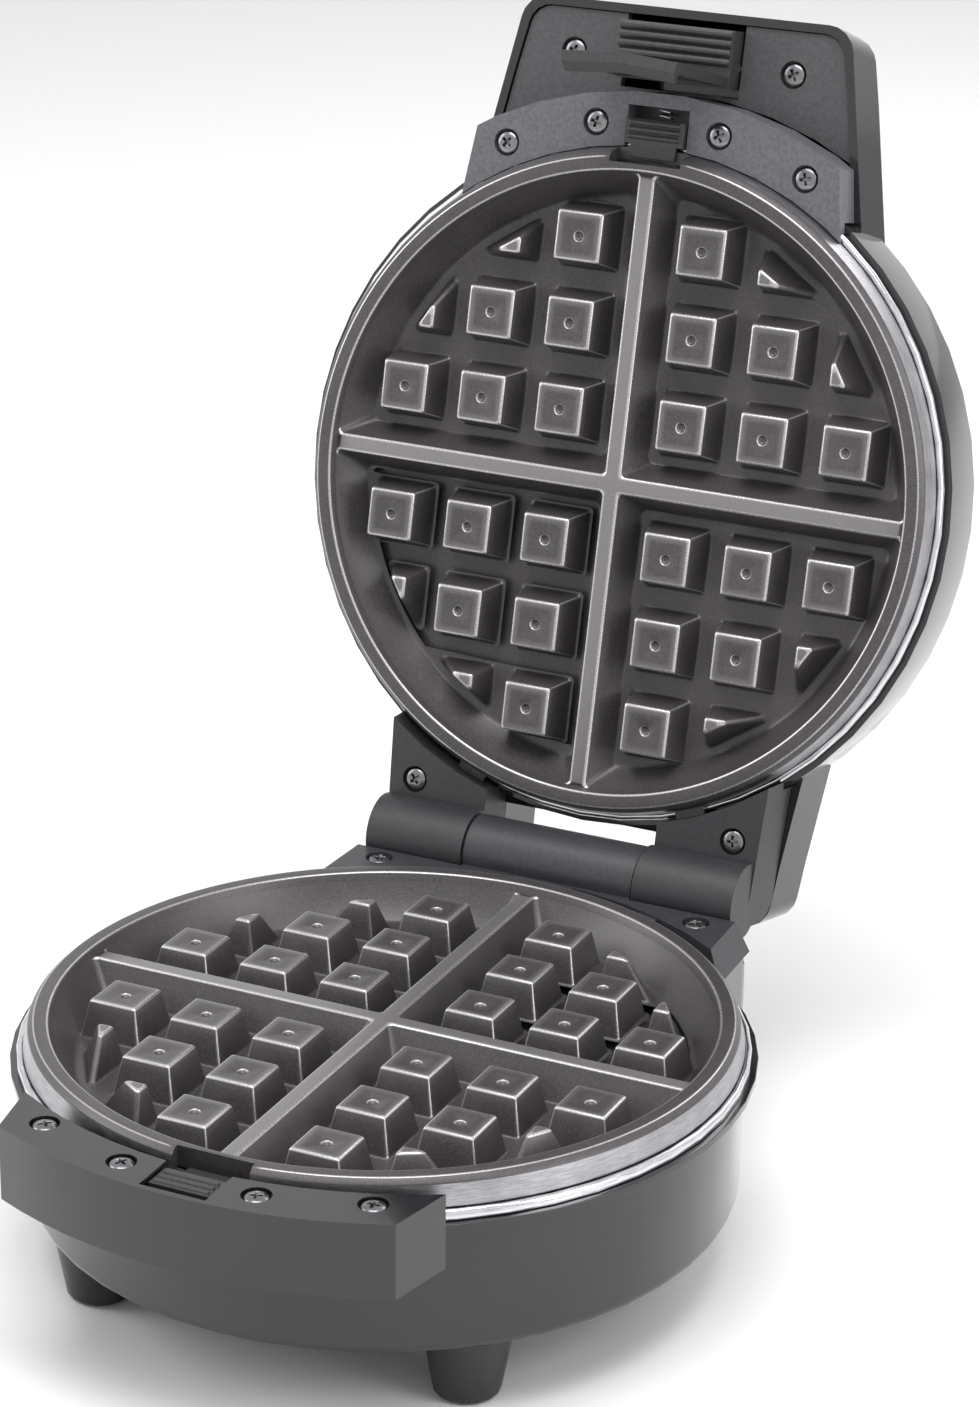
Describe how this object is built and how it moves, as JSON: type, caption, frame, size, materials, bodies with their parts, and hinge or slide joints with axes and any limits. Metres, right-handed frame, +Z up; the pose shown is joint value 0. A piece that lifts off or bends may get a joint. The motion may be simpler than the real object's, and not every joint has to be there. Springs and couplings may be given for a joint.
{
  "type": "waffle maker",
  "caption": "Round countertop waffle maker with a hinged lid, lift-out grid plates, a snap latch in the handle, plate release buttons and tapered feet.",
  "frame": {"origin": "centre of the bounding box at the level the feet stand on, with the lid open as pictured", "axes": "+Z up, +Y towards the hinge at the back, +X to the right seen from the front; the hinge axis is along X"},
  "size_m": [0.2, 0.3222, 0.3029],
  "materials": {
    "gloss_black": "gloss",
    "satin_black": "satin",
    "matt_black": "matt",
    "foot_rubber": "matt",
    "non_stick_casting": "satin non-stick coating",
    "polished_steel": "polished",
    "steel_sheet": "mill",
    "element_sheath": "heat-darkened",
    "steel_hardware": "bright",
    "screw_steel": "dark zinc",
    "terminal_nylon": "matt",
    "lead_insulation": "matt",
    "red_lens": "gloss",
    "green_lens": "gloss"
  },
  "bodies": {
    "base": {"base_housing": "gloss_black", "base_trim_ring": "polished_steel", "base_waffle_plate": "non_stick_casting", "base_reflector": "steel_sheet", "base_heating_element": "element_sheath", "base_element_bracket": "steel_sheet", "base_reflector_screw_1": "screw_steel", "base_reflector_screw_2": "screw_steel", "base_thermostat": "steel_sheet", "base_front_block": "gloss_black", "base_block_screw_1": "screw_steel", "base_block_screw_2": "screw_steel", "base_block_screw_3": "screw_steel", "base_block_screw_4": "screw_steel", "base_hinge_block": "satin_black", "base_hinge_screw_1": "screw_steel", "base_hinge_screw_2": "screw_steel", "hinge_pin": "steel_hardware", "foot_front_left": "foot_rubber", "foot_front_right": "foot_rubber", "foot_rear_left": "foot_rubber", "foot_rear_right": "foot_rubber", "cord_gland": "matt_black", "terminal_block": "terminal_nylon", "element_lead_left": "lead_insulation", "element_lead_right": "lead_insulation", "base_button_spring": "steel_hardware"},
    "lid": {"lid_cover": "gloss_black", "lid_trim_ring": "polished_steel", "lid_waffle_plate": "non_stick_casting", "lid_reflector": "steel_sheet", "lid_heating_element": "element_sheath", "lid_element_bracket": "steel_sheet", "lid_reflector_screw_1": "screw_steel", "lid_reflector_screw_2": "screw_steel", "lid_thermal_cutout": "steel_sheet", "lid_arc_block": "satin_black", "lid_arc_screw_1": "screw_steel", "lid_arc_screw_2": "screw_steel", "lid_arc_screw_3": "screw_steel", "lid_arc_screw_4": "screw_steel", "lid_handle_plate": "satin_black", "lid_handle_screw_1": "screw_steel", "lid_handle_screw_2": "screw_steel", "lid_ear_left": "matt_black", "lid_ear_right": "matt_black", "lid_ear_screw_1": "screw_steel", "lid_ear_screw_2": "screw_steel", "power_lamp_lens": "red_lens", "ready_lamp_lens": "green_lens", "lid_button_spring": "steel_hardware", "latch_pin": "steel_hardware", "latch_spring": "steel_hardware"},
    "latch": {"latch_lever": "satin_black"},
    "base_button": {"base_release_button": "satin_black"},
    "lid_button": {"lid_release_button": "satin_black"}
  },
  "joints": [
    {"name": "lid_hinge", "type": "hinge", "parent": "base", "child": "lid", "pos_m": [0, 0.06591, 0.067], "axis": [1, 0, 0], "range_deg": [0, 103.3]},
    {"name": "latch_pivot", "type": "hinge", "parent": "lid", "child": "latch", "pos_m": [0, 0.14343, 0.28758], "axis": [1, 0, 0], "range_deg": [0, 3.9], "stiffness_Nm_per_rad": 0.3},
    {"name": "base_button_slide", "type": "slide", "parent": "base", "child": "base_button", "axis": [0, -1, 0], "range_m": [0, 0.003], "stiffness_N_per_m": 300},
    {"name": "lid_button_slide", "type": "slide", "parent": "lid", "child": "lid_button", "axis": [0, 0.23, 0.9732], "range_m": [0, 0.003], "stiffness_N_per_m": 300}
  ]
}
